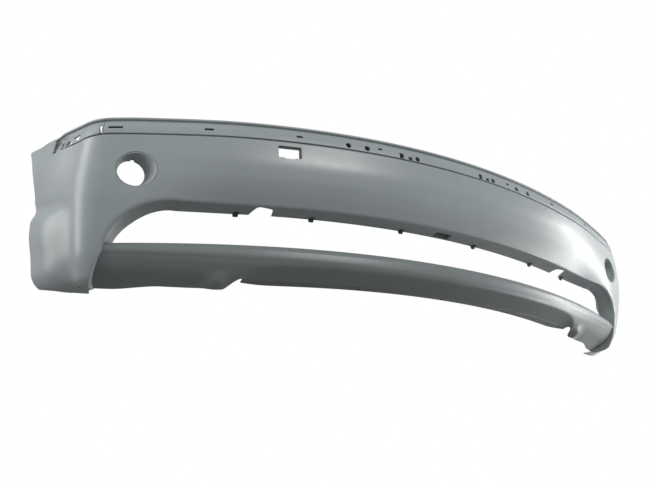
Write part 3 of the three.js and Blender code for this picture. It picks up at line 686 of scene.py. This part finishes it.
# ------------------------------------------------------------------ lower bar
def bar_column(x):
    """Down one section of the bar: its rear flange, the rounded upper edge, then the front."""
    top, low = bar_top(x), bar_bottom(x)
    base = BAR_BOW * x * x + BAR_Y
    front = bar(x, top + (low - top) * np.linspace(0, 1, 56))
    behind = np.array([(x, base + dy, top + dz) for dy, dz in BAR_FLANGE])
    corner = np.concatenate([behind, front[:2]])
    bend = [corner[0]]
    for a, b, c in zip(corner, corner[1:], corner[2:]):
        for t in np.linspace(0, 1, 7)[1:]:
            start, end = (a + b) / 2, (b + c) / 2
            bend.append(start * (1 - t) ** 2 + 2 * t * (1 - t) * b + end * t * t)
    return np.concatenate([bend, front[1:]])


def lower_bar():
    xs = [*np.linspace(0, 380, 60)[:-1], *np.linspace(380, 500, 60)[:-1], *np.linspace(500, BAR_END, 40)]
    grid = both_sides([bar_column(x) for x in xs])
    return rounded_shell("bar_shell", grid, WALL)


# ------------------------------------------------------------------ upper channel and end rails
def section_outline(s, behind_rim):
    """The moulding's section at s: foot, groove, leaning wall, rolled rim, and what is behind it."""
    e, w, r = edge_inset(s), foot_inset(s), rim_inset(s)
    return [
        (w, -8), (w, 0.5), (w + 2, 0.5), (w + 2, 3.2), (e + 1.2, 3.2), (e + 2.5, 12), (e + 5, 20),
        (e + 9, 28), (r + 4, 34), (r + 4, 35.2), (r, 35.7), (r, RIM - 1.5), (r + 1.5, RIM),
        *[(r + inset, rise) for inset, rise in behind_rim],
        (r + 7, RIM - THIN), (r + 6.5, 33), (e + 11.5, 27), (e + 7.6, 19), (w + 4.5, 6), (w + 4.5, -8),
    ]


def section_loft(name, stations, behind_rim):
    rings = [ring(s, fillet(section_outline(s, behind_rim), 1.6, 3)) for s in stations]
    return outward(make(name, *loft_mesh(rings)))


def rivet_bore(s):
    place = on_body(s, rim_inset(s) + 13.5, RIM)
    return prism("tool", circle(2.8), -20, 20, (0, 1, 2), place)


def channel_tools():
    tools = [rivet_bore(-RIVET_S), rivet_bore(RIVET_S)]
    for side in (-1, 1):
        tools += [wall_hole(rounded_box(width, 5, 1.2), side * s, SLOT_RISE) for s, width in SLOTS]
        tools += [wall_hole(circle(6), side * s, 11.8) for s in ROUND_HOLES]
        tools.append(wall_hole(rounded_box(14, 5, 1), side * 630, 36))
    for s in CLUSTERS:
        tools.append(wall_hole(rounded_box(10, 12.5, 1.5), s - 21, 10.5))
        tools.append(wall_hole(rounded_box(10, 7.5, 1.5), s, 8))
        tools.append(wall_hole(circle(5.8), s + 18, 10.2))
    place = on_body(TOW_S, edge_inset(TOW_S) + 6, -8.5)
    tools.append(prism("tool", rounded_box(66, 14, 2), -10, 10, (0, 2, 1), place))
    return tools


def upper_channel():
    stations = np.linspace(-CHANNEL_END, CHANNEL_END, 181)
    return cut(section_loft("channel_loft", stations, CHANNEL_BACK), channel_tools())


def rail_window(corners):
    outline = fillet(corners, 1.5, 3)
    rings = [np.concatenate([ring(s, [(edge_inset(s) + inset, rise)]) for s, rise in outline])
             for inset in (-6, 22)]
    return outward(make("tool", *loft_mesh(rings)))


def tab_loft(stations, top):
    rings = []
    for s in stations:
        r = rim_inset(s)
        rings.append(ring(s, [(r + 8, RIM - 5.7), (r + 8, top), (r + 19, top), (r + 19, RIM - 5.7)]))
    return outward(make("tab", *loft_mesh(rings)))


def mirrored(obj):
    copy = obj.copy()
    copy.data = obj.data.copy()
    bpy.context.scene.collection.objects.link(copy)
    copy.data.transform(Matrix.Diagonal((-1, 1, 1, 1)))
    copy.data.flip_normals()
    return copy


def end_rail():
    rail = section_loft("rail_loft_right", np.linspace(CHANNEL_END + 1, RAIL_END, 50), RAIL_BACK)
    joined(rail, [tab_loft((684, 693, 706), RIM - 3.3), tab_loft((701.3, 706), RIM - 1.5)])
    joggle = [wall_hole(rounded_box(5, height, 1), 705, rise) for height, rise in ((18, 14), (3.5, 2.5))]
    return cut(rail, [*map(rail_window, WINDOWS), *joggle, rivet_bore(RIVET_S)])


# ------------------------------------------------------------------ lamp cups
def lamp_cup():
    """A rim inside the skin's hole, a flange behind the skin, and a cone back to the lamp's seat."""
    face_y = float(body(LAMP_X, LAMP_Z)[1])
    rim, bore = LAMP_RIM, LAMP_BORE
    rear = LAMP_REAR - face_y
    # Radius, distance behind, and 1 where that is behind a flat plane instead of the curved face.
    section = fillet([
        (rim - 0.3, 0.8, 0), (rim - 0.3, 4.2, 0), (rim + 6, 4.2, 0), (rim + 6, 6.4, 0), (rim + 0.5, 6.6, 0),
        (bore + 3, rear + 2.5, 1), (bore, rear + 2.5, 1), (bore, rear, 1), (rim - 2.6, 0.8, 0),
    ], 0.7, 4)
    radius, behind, flat = section.T
    rings = []
    for angle in np.linspace(0, 2 * math.pi, 128, endpoint=False):
        x = LAMP_X + LAMP_LEAN * flat + radius * math.cos(angle)
        z = LAMP_Z + radius * math.sin(angle)
        curved = body(x, z)[:, 1]
        rings.append(np.stack([x, lerp(curved, face_y, flat) + behind, z], -1))
    cup = outward(make("lamp_cup_shell_right", *loft_mesh(rings, closed=True)))
    def place(points):
        return points + (LAMP_X + LAMP_LEAN, LAMP_REAR, LAMP_Z + LAMP_BORE)
    return cut(cup, [prism("tool", rounded_box(7, 6, 1), -10, 10, (0, 2, 1), place)])


# ------------------------------------------------------------------ lower strip
def strip_ring(x):
    """The strip hangs just under the bar's lower edge and reaches back from it."""
    seat = bar(x, scoop_bottom(x))
    depth = lerp(20, 12, float(smooth(370, STRIP_HALF, abs(x))))
    rear = STRIP_FALL + STRIP_DROOP * x * x
    outline = fillet([
        (-2.5, -0.4), (-2.5, -2.9), (3.5, -2.9), (depth, -rear - 2.2), (depth, -rear), (3.5, -0.4),
    ], 0.8, 3)
    return [(x, seat[1] + back, seat[2] + rise) for back, rise in outline]


def strip_hole(x):
    seat = bar(x, scoop_bottom(x))
    return prism("tool", circle(3.2), -15, 15, (0, 1, 2), lambda points: points + seat + (0, 13, 0))


def lower_strip():
    rings = [strip_ring(x) for x in np.linspace(-STRIP_HALF, STRIP_HALF, 121)]
    return cut(outward(make("strip_loft", *loft_mesh(rings))), [strip_hole(x) for x in STRIP_HOLES])


# ------------------------------------------------------------------ materials
def noise(nodes, links, coordinates, scale, detail=2.0, roughness=0.5):
    texture = nodes.new("ShaderNodeTexNoise")
    texture.inputs["Scale"].default_value = scale
    texture.inputs["Detail"].default_value = detail
    texture.inputs["Roughness"].default_value = roughness
    links.new(coordinates, texture.inputs["Vector"])
    return texture.outputs["Fac"]


def remap(nodes, links, value, low, high, start=0.3, end=0.7):
    node = nodes.new("ShaderNodeMapRange")
    node.inputs["From Min"].default_value = start
    node.inputs["From Max"].default_value = end
    node.inputs["To Min"].default_value = low
    node.inputs["To Max"].default_value = high
    links.new(value, node.inputs["Value"])
    return node.outputs["Result"]


def bump(nodes, links, height, distance, strength, normal=None):
    node = nodes.new("ShaderNodeBump")
    node.inputs["Distance"].default_value = distance
    node.inputs["Strength"].default_value = strength
    links.new(height, node.inputs["Height"])
    if normal is not None:
        links.new(normal, node.inputs["Normal"])
    return node.outputs["Normal"]


def plastic(name, colour, shade, roughness, grain, peel, coat=0.0):
    """Moulded or primed plastic: uneven colour and gloss, fine grain, and a slow orange peel.

    colour is the middle colour and shade how far it strays; roughness is its (low, high) range;
    grain and peel are (size, depth, strength), with sizes and depths in metres.
    """
    material = bpy.data.materials.new(name)
    material.use_nodes = True
    nodes, links = material.node_tree.nodes, material.node_tree.links
    shader = nodes["Principled BSDF"]
    place = nodes.new("ShaderNodeTexCoord").outputs["Object"]
    cloud = noise(nodes, links, place, 9.0, 4.0, 0.6)
    ramp = nodes.new("ShaderNodeValToRGB")
    ramp.color_ramp.elements[0].position = 0.3
    ramp.color_ramp.elements[1].position = 0.7
    ramp.color_ramp.elements[0].color = (*[c * (1 - shade) for c in colour], 1)
    ramp.color_ramp.elements[1].color = (*[min(1, c * (1 + shade)) for c in colour], 1)
    links.new(cloud, ramp.inputs["Fac"])
    links.new(ramp.outputs["Color"], shader.inputs["Base Color"])
    gloss = noise(nodes, links, place, 38.0, 5.0, 0.65)
    links.new(remap(nodes, links, gloss, *roughness), shader.inputs["Roughness"])
    normal = None
    for size, depth, strength in (peel, grain):
        height = noise(nodes, links, place, 1 / size, 2.0)
        normal = bump(nodes, links, height, depth, strength, normal)
    links.new(normal, shader.inputs["Normal"])
    shader.inputs["Coat Weight"].default_value = coat
    shader.inputs["Coat Roughness"].default_value = 0.35
    return material


def zinc_steel(name):
    material = bpy.data.materials.new(name)
    material.use_nodes = True
    nodes, links = material.node_tree.nodes, material.node_tree.links
    shader = nodes["Principled BSDF"]
    shader.inputs["Base Color"].default_value = (0.56, 0.57, 0.58, 1)
    shader.inputs["Metallic"].default_value = 1.0
    place = nodes.new("ShaderNodeTexCoord").outputs["Object"]
    stretch = nodes.new("ShaderNodeMapping")
    stretch.inputs["Scale"].default_value = (1, 12, 12)
    links.new(place, stretch.inputs["Vector"])
    brushed = noise(nodes, links, stretch.outputs["Vector"], 260.0, 3.0)
    links.new(remap(nodes, links, brushed, 0.28, 0.48), shader.inputs["Roughness"])
    links.new(bump(nodes, links, brushed, 0.0001, 0.4), shader.inputs["Normal"])
    return material


PRIMER = plastic(
    "primer", (0.262, 0.288, 0.294), 0.03, (0.30, 0.38),
    (0.0005, 0.00006, 0.25), (0.006, 0.0001, 0.1), coat=0.06,
)
MOULDING = plastic(
    "moulding", (0.27, 0.296, 0.302), 0.05, (0.42, 0.55),
    (0.0006, 0.0001, 0.35), (0.008, 0.0001, 0.12),
)
BAR = plastic(
    "bar_plastic", (0.155, 0.170, 0.174), 0.05, (0.32, 0.42),
    (0.0006, 0.0001, 0.3), (0.008, 0.0001, 0.1),
)
DARK = plastic(
    "dark_plastic", (0.05, 0.054, 0.055), 0.1, (0.55, 0.7),
    (0.0007, 0.00015, 0.5), (0.01, 0.0001, 0.1),
)
STRIP = plastic(
    "strip_plastic", (0.125, 0.130, 0.128), 0.06, (0.40, 0.50),
    (0.0006, 0.0001, 0.3), (0.01, 0.0001, 0.1),
)
STEEL = zinc_steel("zinc_steel")


# ------------------------------------------------------------------ the pieces
def dress(obj, name, material, node):
    """Shades a finished piece smooth and lets it stand in for its CAD node."""
    obj.name = name
    obj.data.name = name
    obj.data.polygons.foreach_set("use_smooth", [True] * len(obj.data.polygons))
    obj.data.set_sharp_from_angle(angle=math.radians(35))
    obj.data.materials.clear()
    obj.data.materials.append(material)
    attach(obj, "root")
    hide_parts(node)


dress(front_skin(), "skin_shell", PRIMER, "front_skin")
dress(lower_bar(), "bar_shell", BAR, "lower_bar")
dress(upper_channel(), "channel_loft", MOULDING, "upper_channel")
rail = end_rail()
dress(mirrored(rail), "rail_loft_left", MOULDING, "end_rail_left")
dress(rail, "rail_loft_right", MOULDING, "end_rail_right")
cup = lamp_cup()
dress(mirrored(cup), "cup_loft_left", MOULDING, "lamp_cup_left")
dress(cup, "cup_loft_right", MOULDING, "lamp_cup_right")
for place_name, hook_x in HOOKS.items():
    hook = on_lip("hook", hook_x, fillet(HOOK_OUTLINE, 0.5, 2), HOOK_WIDTH, trim=0.3)
    dress(hook, f"hook_{place_name}", DARK, f"grille_hook_{place_name}")
dress(lower_strip(), "strip_loft", STRIP, "lower_strip")
for node_name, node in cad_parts.items():
    if node_name.startswith(("corner_nut", "rail_rivet")):
        node.data.materials.clear()
        node.data.materials.append(STEEL)


# ------------------------------------------------------------------ stage
def stage_floor():
    """A pale floor that is seen only from above, because the camera stands lower than the part."""
    material = bpy.data.materials.new("floor")
    material.use_nodes = True
    nodes, links = material.node_tree.nodes, material.node_tree.links
    shader = nodes["Principled BSDF"]
    shader.inputs["Base Color"].default_value = (0.8, 0.8, 0.8, 1)
    shader.inputs["Roughness"].default_value = 0.9
    clear = nodes.new("ShaderNodeBsdfTransparent")
    mix = nodes.new("ShaderNodeMixShader")
    links.new(nodes.new("ShaderNodeNewGeometry").outputs["Backfacing"], mix.inputs["Fac"])
    links.new(shader.outputs["BSDF"], mix.inputs[1])
    links.new(clear.outputs["BSDF"], mix.inputs[2])
    links.new(mix.outputs["Shader"], nodes["Material Output"].inputs["Surface"])
    bpy.ops.mesh.primitive_plane_add(size=40, location=(0, 0, -0.0005))
    floor = bpy.context.object
    floor.name = "floor"
    floor.data.materials.append(material)
    floor.visible_diffuse = False
    floor.visible_glossy = False
    floor.visible_shadow = False


# Each glow: the way it comes from, the cosines where it starts and is full, and its strength.
STUDIO_GLOWS = (
    ((0, 0, 1), -1.0, -0.9, 0.09),
    ((0.93, 0.35, 0.1), 0.76, 0.93, 1.0),
    ((-0.88, 0.42, 0.2), 0.4, 0.97, 0.5),
    ((-0.2, -0.97, -0.1), 0.3, 1.0, 0.22),
    ((0, -0.3, 0.95), 0.0, 0.9, 0.4),
    ((0, -0.2, -0.98), 0.1, 1.0, 0.17),
)
# Each light: name, place, target, size and power.
STUDIO_LIGHTS = (
    ("umbrella", (0.1, -2.38, 1.4), (-0.3, -0.13, 0.22), (0.8, 0.8), 30),
    ("right_strip", (2.45, -0.6, 0.0), (0.4, -0.1, 0.15), (0.32, 2.4), 50),
    ("left_strip", (-2.9, 0.28, 0.8), (-0.76, 0.1, 0.2), (0.9, 2.6), 44),
)


def area_light(name, place, target, size, power):
    data = bpy.data.lights.new(name, "AREA")
    data.shape = "RECTANGLE"
    data.size, data.size_y = size
    data.energy = power
    light = bpy.data.objects.new(name, data)
    light.location = place
    direction = Vector(target) - Vector(place)
    light.rotation_euler = direction.to_track_quat("-Z", "Y").to_euler()
    bpy.context.scene.collection.objects.link(light)


def glow(nodes, links, direction, toward, start, end, strength):
    """Light from one side of the studio: none below start, full from end, by the cosine to it."""
    dot = nodes.new("ShaderNodeVectorMath")
    dot.operation = "DOT_PRODUCT"
    dot.inputs[1].default_value = toward
    links.new(direction, dot.inputs[0])
    return remap(nodes, links, dot.outputs["Value"], 0.0, strength, start, end)


def studio():
    """Glows and lights round the part, in front of a backdrop that is white to the camera alone."""
    world = bpy.data.worlds.new("studio")
    world.use_nodes = True
    nodes, links = world.node_tree.nodes, world.node_tree.links
    direction = nodes.new("ShaderNodeTexCoord").outputs["Generated"]
    total = None
    for toward, start, end, strength in STUDIO_GLOWS:
        part = glow(nodes, links, direction, toward, start, end, strength)
        if total is not None:
            add = nodes.new("ShaderNodeMath")
            add.operation = "ADD"
            links.new(total, add.inputs[0])
            links.new(part, add.inputs[1])
            part = add.outputs["Value"]
        total = part
    room = nodes["Background"]
    room.inputs["Color"].default_value = (0.97, 1.0, 1.0, 1)
    links.new(total, room.inputs["Strength"])
    backdrop = nodes.new("ShaderNodeBackground")
    backdrop.inputs["Color"].default_value = (1, 1, 1, 1)
    backdrop.inputs["Strength"].default_value = 1.0
    mix = nodes.new("ShaderNodeMixShader")
    links.new(nodes.new("ShaderNodeLightPath").outputs["Is Camera Ray"], mix.inputs["Fac"])
    links.new(room.outputs["Background"], mix.inputs[1])
    links.new(backdrop.outputs["Background"], mix.inputs[2])
    links.new(mix.outputs["Shader"], nodes["World Output"].inputs["Surface"])
    bpy.context.scene.world = world
    bpy.context.scene.view_settings.view_transform = "Standard"
    for light in STUDIO_LIGHTS:
        area_light(*light)


def camera():
    """Stands low and to the left, and looks up along the front."""
    right = (0.8685, -0.4957, 0.0091)
    down = (0.1611, 0.2649, -0.9507)
    forward = (0.4688, 0.8271, 0.3099)
    eye = (-0.8739, -0.9319 + SHIFT_Y / 1000, -0.2853)
    data = bpy.data.cameras.new("camera")
    data.sensor_width = 36
    data.lens = 36.44
    data.clip_start = 0.01
    view = bpy.data.objects.new("camera", data)
    columns = (right, [-c for c in down], [-c for c in forward])
    matrix = Matrix([[*(column[i] for column in columns), eye[i]] for i in range(3)] + [[0, 0, 0, 1]])
    view.matrix_world = matrix
    bpy.context.scene.collection.objects.link(view)
    bpy.context.scene.camera = view


stage_floor()
studio()
camera()
